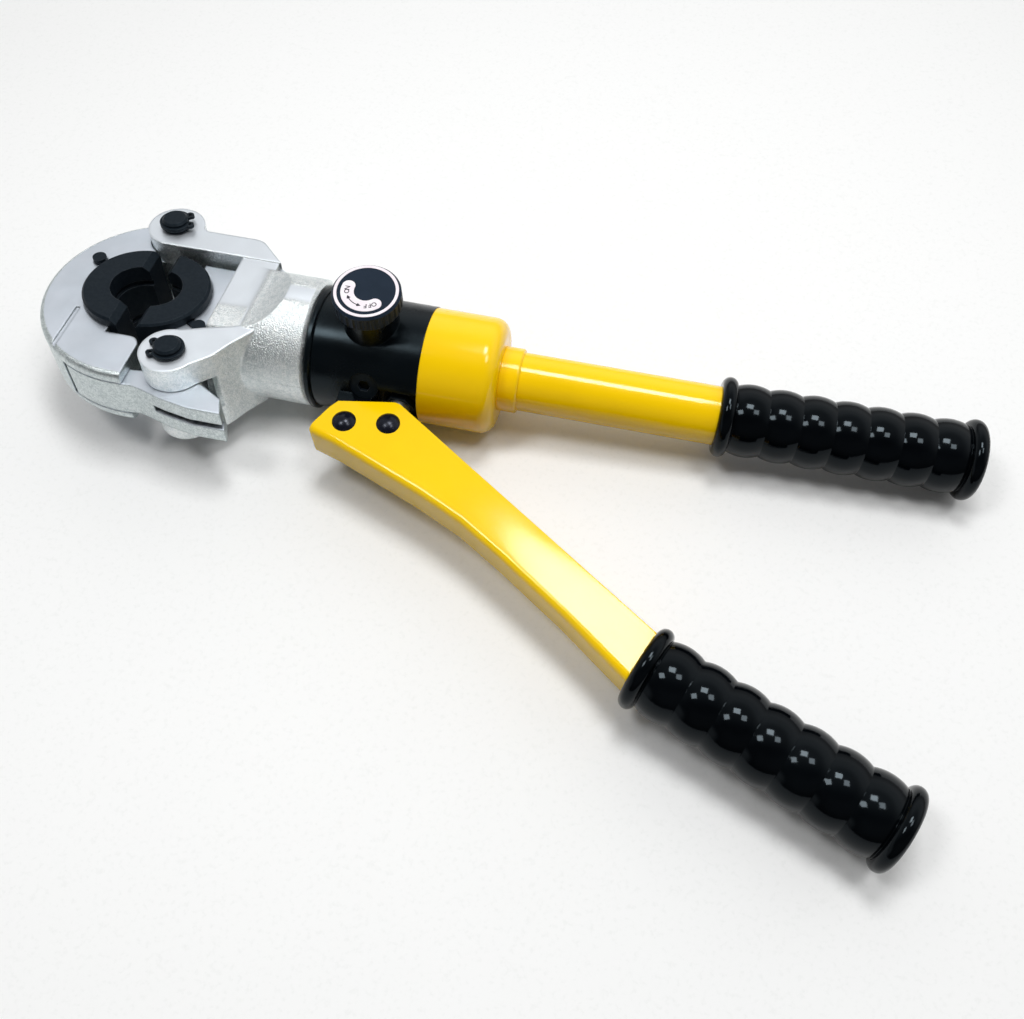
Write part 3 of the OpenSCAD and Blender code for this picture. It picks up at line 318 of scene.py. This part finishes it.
# the black oxide's lighter edge colour is partly rubbed wear and partly painted edge highlight
blackOxide = {"colour": (0.006, 0.0095, 0.014), "tint": (0.009, 0.013, 0.018), "edgeWearAndPaintedLight": (0.1, 0.11, 0.12),
              "grain": 700.0, "relief": 0.00003, "rough": (0.36, 0.48), "edge": 0.0004, "edgeGain": 2.0,
              "specular": 0.13, "glint": (0.7, 0.9, 1.0)}
rivetBlack = dict(blackOxide, colour=(0.004, 0.0045, 0.009), tint=(0.007, 0.008, 0.014), rough=(0.2, 0.3),
                  specular=0.3, relief=0.00006, grain=420.0, glint=(0.8, 0.85, 1.0))
brightSteel = {"metal": 1.0, "colour": (0.6, 0.62, 0.64), "tint": (0.52, 0.54, 0.56),
               "edgeWearAndPaintedLight": (0.8, 0.8, 0.8), "grain": 900.0, "relief": 0.00003, "rough": (0.2, 0.34),
               "edge": 0.0003, "edgeGain": 1.5}
sealRubber = {"colour": (0.004, 0.0045, 0.005), "tint": (0.008, 0.0085, 0.009), "edgeWearAndPaintedLight": (0.03, 0.03, 0.03),
              "grain": 600.0, "relief": 0.00004, "rough": (0.5, 0.7), "edge": 0.0003, "edgeGain": 0.8,
              "specular": 0.3}
gripVinyl = {"colour": (0.0006, 0.001, 0.0016), "tint": (0.0012, 0.0018, 0.0026),
             "edgeWearAndPaintedLight": (0.01, 0.012, 0.015), "grain": 50.0, "peel": 700.0, "relief": 0.000012,
             "rough": (0.06, 0.1), "edge": 0.0004, "edgeGain": 0.6, "specular": 0.16,
             "glint": (0.75, 0.9, 1.0)}
knobPlastic = {"colour": (0.010, 0.017, 0.030), "tint": (0.013, 0.021, 0.036), "edgeWearAndPaintedLight": (0.05, 0.055, 0.06),
               "grain": 90.0, "peel": 1400.0, "relief": 0.00003, "rough": (0.34, 0.46), "edge": 0.0004,
               "edgeGain": 1.6, "specular": 0.14, "glint": (0.7, 0.88, 1.0)}
labelPrint = {"colour": (0.83, 0.76, 0.81), "tint": (0.87, 0.82, 0.86), "edgeWearAndPaintedLight": (0.7, 0.66, 0.7),
              "grain": 220.0, "relief": 0.00001, "rough": (0.3, 0.42), "edge": 0.0002, "edgeGain": 0.6}
inkPrint = {"colour": (0.02, 0.016, 0.03), "tint": (0.04, 0.034, 0.05), "edgeWearAndPaintedLight": (0.15, 0.13, 0.15),
            "grain": 900.0, "relief": 0.00001, "rough": (0.4, 0.55), "edge": 0.0001, "edgeGain": 0.4}
materials = {
    "zincNeck": zincMaterial("zincNeck", zincNeck),
    "zincJaw": zincMaterial("zincJaw", zincJaw),
    "yellowPaint": finishMaterial("yellowPaint", yellowPaint),
    "blackPaint": finishMaterial("blackPaint", blackPaint),
    "blackOxide": finishMaterial("blackOxide", blackOxide),
    "rivetBlack": finishMaterial("rivetBlack", rivetBlack),
    "brightSteel": finishMaterial("brightSteel", brightSteel),
    "sealRubber": finishMaterial("sealRubber", sealRubber),
    "gripVinyl": finishMaterial("gripVinyl", gripVinyl),
    "knobPlastic": finishMaterial("knobPlastic", knobPlastic),
    "labelPrint": finishMaterial("labelPrint", labelPrint),
    "inkPrint": finishMaterial("inkPrint", inkPrint),
}
finishOf = {
    "zincNeck": ["head_frame"],
    "zincJaw": ["latch_jaw", "lock_lever", "die_carrier"],
    "yellowPaint": ["tank_sleeve", "handle_collar", "handle_tube", "pump_lever"],
    "blackPaint": ["pump_body", "swivel_ring"],
    # the plunger gland is given black oxide in place of bright steel as painted shade, keeping the gap
    # beside the rear lever pin dark
    "blackOxide": ["hinge_pin", "lock_pin", "pin_circlips", "front_die", "rear_die", "front_button",
                   "rear_button", "body_plug", "plunger_gland"],
    "rivetBlack": ["lever_pins"],
    "brightSteel": ["lock_spring", "return_spring", "swivel_wire", "ram", "plunger", "valve_ball",
                    "release_spindle", "tube_plug"],
    "sealRubber": ["swivel_seal", "ram_seal", "oil_bladder"],
    "gripVinyl": ["handle_grip", "lever_grip"],
    "knobPlastic": ["release_knob"],
    "labelPrint": ["knob_label"],
}
for finish, names in finishOf.items():
    for name in names:
        nodes[name].data.materials.clear()
        nodes[name].data.materials.append(materials[finish])
print("materials made:", len(materials))


def addPiece(name, mesh, body, material):
    mesh.materials.clear()
    mesh.materials.append(material)
    piece = bpy.data.objects.new(name, mesh)
    scene.collection.objects.link(piece)
    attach(piece, body)
    return piece


# pressed lever: the CAD channel with its bends rounded as a press leaves them,
# and its pin bores closed under the pin heads
lever = {"cheek": 9.5 * mm, "bend": 3.2 * mm, "bendSteps": 8, "boreReach": 5.0 * mm, "weld": 1e-6,
         "flatAngle": 0.4, "sharpAngle": 28, "upright": 0.05,
         "pins": ((110.5 * mm, -43.1 * mm), (129.7 * mm, -40.3 * mm))}


def roundedLever():
    work = bmesh.new()
    work.from_mesh(nodes["pump_lever"].data)
    bmesh.ops.remove_doubles(work, verts=work.verts, dist=lever["weld"])

    def inBore(face):
        centre = face.calc_center_median()
        near = min(math.hypot(centre.x - x, centre.y - y) for x, y in lever["pins"])
        return abs(face.normal.z) < lever["upright"] and near < lever["boreReach"]

    bmesh.ops.delete(work, geom=[f for f in work.faces if inBore(f)], context="FACES")
    rims = [e for e in work.edges if e.is_boundary]
    bmesh.ops.holes_fill(work, edges=rims, sides=0)
    bmesh.ops.recalc_face_normals(work, faces=work.faces)
    bmesh.ops.dissolve_limit(work, angle_limit=math.radians(lever["flatAngle"]), verts=work.verts,
                             edges=work.edges)

    def isBend(edge):
        if len(edge.link_faces) != 2 or any(abs(abs(v.co.z) - lever["cheek"]) > 1e-5 for v in edge.verts):
            return False
        first, second = edge.link_faces
        cheek, side = (first, second) if abs(first.normal.z) > abs(second.normal.z) else (second, first)
        web = abs(side.normal.z) < lever["upright"] and side.normal.y < -0.1 and side.normal.x < 0.3
        return abs(cheek.normal.z) > 0.99 and web

    bends = [e for e in work.edges if isBend(e)]
    bmesh.ops.bevel(work, geom=bends, offset=lever["bend"], segments=lever["bendSteps"], profile=0.5,
                    affect="EDGES")
    bmesh.ops.recalc_face_normals(work, faces=work.faces)
    opened = sum(1 for e in work.edges if len(e.link_faces) != 2)
    print("lever edges rounded:", len(bends), "open edges:", opened)
    mesh = bpy.data.meshes.new("leverShell")
    work.to_mesh(mesh)
    work.free()
    for face in mesh.polygons:
        face.use_smooth = abs(face.normal.z) < 0.999
    mesh.set_sharp_from_angle(angle=math.radians(lever["sharpAngle"]))
    return mesh


leverShell = addPiece("leverShell", roundedLever(), "lever", materials["yellowPaint"])
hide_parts("pump_lever")


def newTree(name, inputs):
    tree = bpy.data.node_groups.new(name, "GeometryNodeTree")
    for label, kind, value in inputs:
        socket = tree.interface.new_socket(name=label, in_out="INPUT", socket_type=kind)
        if value is not None:
            socket.default_value = value
    tree.interface.new_socket(name="Geometry", in_out="OUTPUT", socket_type="NodeSocketGeometry")
    return tree, tree.nodes.new("NodeGroupInput"), tree.nodes.new("NodeGroupOutput")


def endTree(tree, geometry, groupIn, groupOut):
    realize = tree.nodes.new("GeometryNodeRealizeInstances")
    painter = tree.nodes.new("GeometryNodeSetMaterial")
    tree.links.new(geometry, realize.inputs["Geometry"])
    tree.links.new(realize.outputs["Geometry"], painter.inputs["Geometry"])
    tree.links.new(groupIn.outputs["Material"], painter.inputs["Material"])
    tree.links.new(painter.outputs["Geometry"], groupOut.inputs["Geometry"])


def growMesh(name, tree, values):
    holder = bpy.data.objects.new(name + "Source", bpy.data.meshes.new(name + "Source"))
    scene.collection.objects.link(holder)
    grower = holder.modifiers.new("grow", "NODES")
    grower.node_group = tree
    known = {s.name: s.identifier for s in tree.interface.items_tree if s.in_out == "INPUT"}
    for label, value in values.items():
        grower[known[label]] = value
    bpy.context.view_layer.update()
    mesh = bpy.data.meshes.new_from_object(holder.evaluated_get(bpy.context.evaluated_depsgraph_get()))
    mesh.name = name
    bpy.data.objects.remove(holder)
    return mesh


# release knob print: ON and OFF run clockwise round the inlay with the tops outward
knob = {"axis": 113.2 * mm, "ring": 8.1 * mm, "letter": 3.0 * mm, "bold": 0.06 * mm, "lift": 0.03 * mm,
        "step": 13.0, "words": (("ON", 193.0), ("OFF", 309.0)), "arrow": (208.0, 269.0),
        "arrowWidth": 1.9 * mm, "arrowLift": 0.12 * mm, "arrowSteps": 60, "arrowTip": 0.02,
        "arrowShape": ((0.2, 0.95), (0.21, 0.22), (0.79, 0.22), (0.8, 0.95))}
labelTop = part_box("knob_label")[1].z

# flat mark swept along an arc, drawn out to a head at both ends
arrowTree, aIn, aOut = newTree(
    "arcArrow", [("Radius", "NodeSocketFloat", 0.008), ("Start", "NodeSocketFloat", 0.0),
                 ("Sweep", "NodeSocketFloat", 1.0), ("Width", "NodeSocketFloat", 0.0004),
                 ("Lift", "NodeSocketFloat", 0.0001), ("Centre", "NodeSocketVector", None),
                 ("Material", "NodeSocketMaterial", None)])
arc = arrowTree.nodes.new("GeometryNodeCurveArc")
arc.inputs["Resolution"].default_value = knob["arrowSteps"]
for label, socket in (("Radius", "Radius"), ("Start", "Start Angle"), ("Sweep", "Sweep Angle")):
    arrowTree.links.new(aIn.outputs[label], arc.inputs[socket])
arcShare = arrowTree.nodes.new("GeometryNodeSplineParameter")
arrowShape = arrowTree.nodes.new("ShaderNodeFloatCurve")
points = arrowShape.mapping.curves[0].points
points[0].location, points[1].location = (0.0, knob["arrowTip"]), (1.0, knob["arrowTip"])
for x, y in knob["arrowShape"]:
    points.new(x, y)
for point in points:
    point.handle_type = "VECTOR"
arrowShape.mapping.update()
arrowTree.links.new(arcShare.outputs["Factor"], arrowShape.inputs["Value"])
profile = arrowTree.nodes.new("GeometryNodeCurvePrimitiveQuadrilateral")
arrowTree.links.new(aIn.outputs["Width"], profile.inputs["Width"])
arrowTree.links.new(aIn.outputs["Lift"], profile.inputs["Height"])
sweep = arrowTree.nodes.new("GeometryNodeCurveToMesh")
arrowTree.links.new(profile.outputs["Curve"], sweep.inputs["Profile Curve"])
sweep.inputs["Fill Caps"].default_value = True
arrowTree.links.new(arc.outputs["Curve"], sweep.inputs["Curve"])
arrowTree.links.new(arrowShape.outputs["Value"], sweep.inputs["Scale"])
placer = arrowTree.nodes.new("GeometryNodeTransform")
arrowTree.links.new(sweep.outputs["Mesh"], placer.inputs["Geometry"])
arrowTree.links.new(aIn.outputs["Centre"], placer.inputs["Translation"])
endTree(arrowTree, placer.outputs["Geometry"], aIn, aOut)


def letterMesh(work, letter, angle):
    text = bpy.data.curves.new("letter", "FONT")
    text.body = letter
    text.size = knob["letter"]
    text.offset = knob["bold"]
    text.align_x, text.align_y = "CENTER", "CENTER"
    text.extrude = knob["lift"] / 2
    text.resolution_u = 3
    holder = bpy.data.objects.new("letter", text)
    scene.collection.objects.link(holder)
    bpy.context.view_layer.update()
    mesh = bpy.data.meshes.new_from_object(holder.evaluated_get(bpy.context.evaluated_depsgraph_get()))
    turn = math.radians(angle)
    place = Vector((knob["axis"] + knob["ring"] * math.cos(turn), knob["ring"] * math.sin(turn), labelTop))
    mesh.transform(Matrix.Translation(place) @ Matrix.Rotation(turn - math.pi / 2, 4, "Z"))
    work.from_mesh(mesh)
    bpy.data.objects.remove(holder)
    bpy.data.meshes.remove(mesh)


letters = bmesh.new()
for word, start in knob["words"]:
    for index, letter in enumerate(word):
        letterMesh(letters, letter, start - index * knob["step"])
arrow = growMesh("arcArrow", arrowTree, {
    "Radius": knob["ring"], "Start": math.radians(knob["arrow"][0]),
    "Sweep": math.radians(knob["arrow"][1] - knob["arrow"][0]),
    "Width": knob["arrowWidth"], "Lift": knob["arrowLift"],
    "Centre": (knob["axis"], 0.0, labelTop), "Material": materials["inkPrint"]})
letters.from_mesh(arrow)
bmesh.ops.remove_doubles(letters, verts=letters.verts, dist=1e-7)
bmesh.ops.recalc_face_normals(letters, faces=letters.faces)
printMesh = bpy.data.meshes.new("knobPrint")
letters.to_mesh(printMesh)
letters.free()
addPiece("knobPrint", printMesh, "knob", materials["inkPrint"])
print("knob print made")

# parting seam of the casting: a thin wavering flash along the middle of the neck, on both sides
seam = {"radius": 0.22 * mm, "waver": 0.35 * mm, "from": 63.0, "to": 84.6, "near": -27.5, "far": 31.5,
        "steps": 70, "sides": 8, "waves": 320.0}
seamTree, sIn, sOut = newTree(
    "partingSeam", [("Start", "NodeSocketVector", None), ("End", "NodeSocketVector", None),
                    ("Radius", "NodeSocketFloat", 0.0002), ("Waver", "NodeSocketFloat", 0.0003),
                    ("Material", "NodeSocketMaterial", None)])
line = seamTree.nodes.new("GeometryNodeCurvePrimitiveLine")
seamTree.links.new(sIn.outputs["Start"], line.inputs["Start"])
seamTree.links.new(sIn.outputs["End"], line.inputs["End"])
steps = seamTree.nodes.new("GeometryNodeResampleCurve")
steps.inputs["Count"].default_value = seam["steps"]
seamTree.links.new(line.outputs["Curve"], steps.inputs["Curve"])
waves = seamTree.nodes.new("ShaderNodeTexNoise")
waves.inputs["Scale"].default_value = seam["waves"]
waves.inputs["Detail"].default_value = 2.0
centred = seamTree.nodes.new("ShaderNodeMath")
centred.operation = "SUBTRACT"
centred.inputs[1].default_value = 0.5
seamTree.links.new(waves.outputs["Fac"], centred.inputs[0])
sideways = seamTree.nodes.new("ShaderNodeMath")
sideways.operation = "MULTIPLY"
seamTree.links.new(centred.outputs[0], sideways.inputs[0])
seamTree.links.new(sIn.outputs["Waver"], sideways.inputs[1])
offset = seamTree.nodes.new("ShaderNodeCombineXYZ")
seamTree.links.new(sideways.outputs[0], offset.inputs["Z"])
bend = seamTree.nodes.new("GeometryNodeSetPosition")
seamTree.links.new(steps.outputs["Curve"], bend.inputs["Geometry"])
seamTree.links.new(offset.outputs["Vector"], bend.inputs["Offset"])
ringShape = seamTree.nodes.new("GeometryNodeCurvePrimitiveCircle")
ringShape.inputs["Resolution"].default_value = seam["sides"]
seamTree.links.new(sIn.outputs["Radius"], ringShape.inputs["Radius"])
tube = seamTree.nodes.new("GeometryNodeCurveToMesh")
tube.inputs["Fill Caps"].default_value = True
seamTree.links.new(bend.outputs["Geometry"], tube.inputs["Curve"])
seamTree.links.new(ringShape.outputs["Curve"], tube.inputs["Profile Curve"])
endTree(seamTree, tube.outputs["Mesh"], sIn, sOut)
seamWork = bmesh.new()
for side in (seam["near"], seam["far"]):
    seamWork.from_mesh(growMesh("partingSeam", seamTree, {
        "Start": headPoint(seam["from"], side, 0.0), "End": headPoint(seam["to"], side, 0.0),
        "Radius": seam["radius"], "Waver": seam["waver"], "Material": materials["zincNeck"]}))
bmesh.ops.recalc_face_normals(seamWork, faces=seamWork.faces)
seamMesh = bpy.data.meshes.new("partingSeam")
seamWork.to_mesh(seamMesh)
seamWork.free()
addPiece("partingSeam", seamMesh, "head", materials["zincNeck"])
print("parting seam made")

# table: the tool lies on its head and on both grips, so the table leans a little in the tool's frame
table = {"reach": 1.2, "lean": 0.0359, "centre": (0.17, -0.06, 0.0), "fadeFrom": 0.42, "fadeTo": 0.95,
         "white": 0.97, "colour": (0.9, 0.905, 0.9), "speck": (0.86, 0.868, 0.86), "speckScale": 500.0,
         "specks": (0.5, 0.75), "rough": (0.5, 0.65), "bounce": (0.42, 0.42, 0.42)}
touch = min(v.co.z - table["lean"] * v.co.x for n in nodes.values() for v in n.data.vertices)
tableMesh = bpy.data.meshes.new("table")
reach = table["reach"]
square = ((-reach, -reach), (reach, -reach), (reach, reach), (-reach, reach))
corners = [(x, y, touch + table["lean"] * x) for x, y in square]
tableMesh.from_pydata(corners, [], [(0, 1, 2, 3)])
tableObject = bpy.data.objects.new("table", tableMesh)
scene.collection.objects.link(tableObject)
tableMaterial, tableTree, tableShader = startMaterial("tableTop", {"specular": 0.2})
speckle = useGroup(tableTree, grainGroup, Scale=table["speckScale"], Detail=3.0)
speckMask = remap(tableTree, speckle.outputs["Value"], *table["specks"])
# the table throws less light up at the tool than the white that the camera and the gloss see
tablePath = tableTree.nodes.new("ShaderNodeLightPath")
tableColour = mixColour(tableTree, speckMask, table["colour"], table["speck"])
tableTree.links.new(mixColour(tableTree, tablePath.outputs["Is Diffuse Ray"], tableColour, table["bounce"]),
                    tableShader.inputs["Base Color"])
tableRough = useGroup(tableTree, sheenGroup, Scale=handledSheen["tableScale"], Low=table["rough"][0],
                      High=table["rough"][1])
tableTree.links.new(tableRough.outputs["Rough"], tableShader.inputs["Roughness"])
# away from the tool the table fades into the white of the room, for the camera and for gloss
tablePlace = tableTree.nodes.new("ShaderNodeVectorMath")
tablePlace.operation = "DISTANCE"
tablePlace.inputs[1].default_value = table["centre"]
tableTree.links.new(tableTree.nodes.new("ShaderNodeTexCoord").outputs["Object"], tablePlace.inputs[0])
mirrored = math2(tableTree, "MAXIMUM", tablePath.outputs["Is Glossy Ray"],
                 tablePath.outputs["Is Transmission Ray"])
seen = math2(tableTree, "MAXIMUM", tablePath.outputs["Is Camera Ray"], mirrored)
distant = remap(tableTree, tablePlace.outputs["Value"], table["fadeFrom"], table["fadeTo"])
faded = math2(tableTree, "MULTIPLY", distant, seen)
tableWhite = tableTree.nodes.new("ShaderNodeEmission")
tableWhite.inputs["Strength"].default_value = table["white"]
tableMix = tableTree.nodes.new("ShaderNodeMixShader")
tableTree.links.new(faded, tableMix.inputs["Fac"])
tableTree.links.new(tableShader.outputs[0], tableMix.inputs[1])
tableTree.links.new(tableWhite.outputs[0], tableMix.inputs[2])
tableTree.links.new(tableMix.outputs[0], tableTree.nodes["Material Output"].inputs["Surface"])
tableMesh.materials.append(tableMaterial)

# room light: pale walls behind the tool, a window low on the left, dim camera side;
# the pairs say over which part of the direction each one comes in
room = {"wall": 0.9, "front": 0.12, "wallSpan": (-0.45, 0.35), "horizon": 0.35, "horizonSpan": (0.02, 0.4),
        "ceiling": 0.5, "ceilingSpan": (0.6, 0.86), "left": 0.52, "leftSpan": (-0.65, -0.3),
        "window": 0.5, "windowSpan": (-0.55, -0.8), "windowTop": (0.2, 0.45), "base": 0.024, "seen": 0.97}
world = bpy.data.worlds.new("room")
scene.world = world
world.use_nodes = True
worldTree = world.node_tree
worldTree.nodes.clear()
direction = worldTree.nodes.new("ShaderNodeSeparateXYZ")
worldTree.links.new(worldTree.nodes.new("ShaderNodeTexCoord").outputs["Generated"], direction.inputs[0])
behind = remap(worldTree, direction.outputs["Y"], *room["wallSpan"], room["front"], room["wall"])
above = remap(worldTree, direction.outputs["Z"], *room["horizonSpan"], room["horizon"], 1.0)
ceiling = remap(worldTree, direction.outputs["Z"], *room["ceilingSpan"], 1.0, room["ceiling"])
below = math2(worldTree, "MULTIPLY", above, ceiling)
beside = remap(worldTree, direction.outputs["X"], *room["leftSpan"], room["left"], 1.0)
lit = math2(worldTree, "MULTIPLY", math2(worldTree, "MULTIPLY", behind, below), beside)
glow = math2(worldTree, "MULTIPLY",
             remap(worldTree, direction.outputs["X"], *room["windowSpan"], 0.0, room["window"]),
             remap(worldTree, direction.outputs["Z"], *room["windowTop"], 1.0, 0.0))
level = math2(worldTree, "ADD", math2(worldTree, "ADD", lit, glow), room["base"])
roomLight = worldTree.nodes.new("ShaderNodeBackground")
worldTree.links.new(level, roomLight.inputs["Strength"])
seenLight = worldTree.nodes.new("ShaderNodeBackground")
seenLight.inputs["Strength"].default_value = room["seen"]
roomLight.inputs["Color"].default_value = seenLight.inputs["Color"].default_value = (1.0, 1.0, 1.0, 1.0)
chooser = worldTree.nodes.new("ShaderNodeMixShader")
worldPath = worldTree.nodes.new("ShaderNodeLightPath")
worldTree.links.new(worldPath.outputs["Is Camera Ray"], chooser.inputs["Fac"])
worldTree.links.new(roomLight.outputs[0], chooser.inputs[1])
worldTree.links.new(seenLight.outputs[0], chooser.inputs[2])
worldTree.links.new(chooser.outputs[0], worldTree.nodes.new("ShaderNodeOutputWorld").inputs["Surface"])

# ceiling panels
lamps = {
    "panelBack": {"place": (0.21, 0.23, 1.03), "size": (0.3, 0.26), "power": 4.6},
    "panelRight": {"place": (0.55, -0.04, 1.1), "size": (0.26, 0.26), "power": 2.3},
    "panelLeft": {"place": (-0.3, -0.14, 1.1), "size": (0.28, 0.28), "power": 3.5},
}
aim = Vector((0.17, -0.05, 0.0))
for name, lamp in lamps.items():
    light = bpy.data.lights.new(name, "AREA")
    light.shape = "RECTANGLE"
    light.size, light.size_y = lamp["size"]
    light.energy = lamp["power"]
    lightObject = bpy.data.objects.new(name, light)
    lightObject.location = lamp["place"]
    lightObject.rotation_mode = "QUATERNION"
    lightObject.rotation_quaternion = (aim - Vector(lamp["place"])).to_track_quat("-Z", "Y")
    scene.collection.objects.link(lightObject)
print("stage and light made")
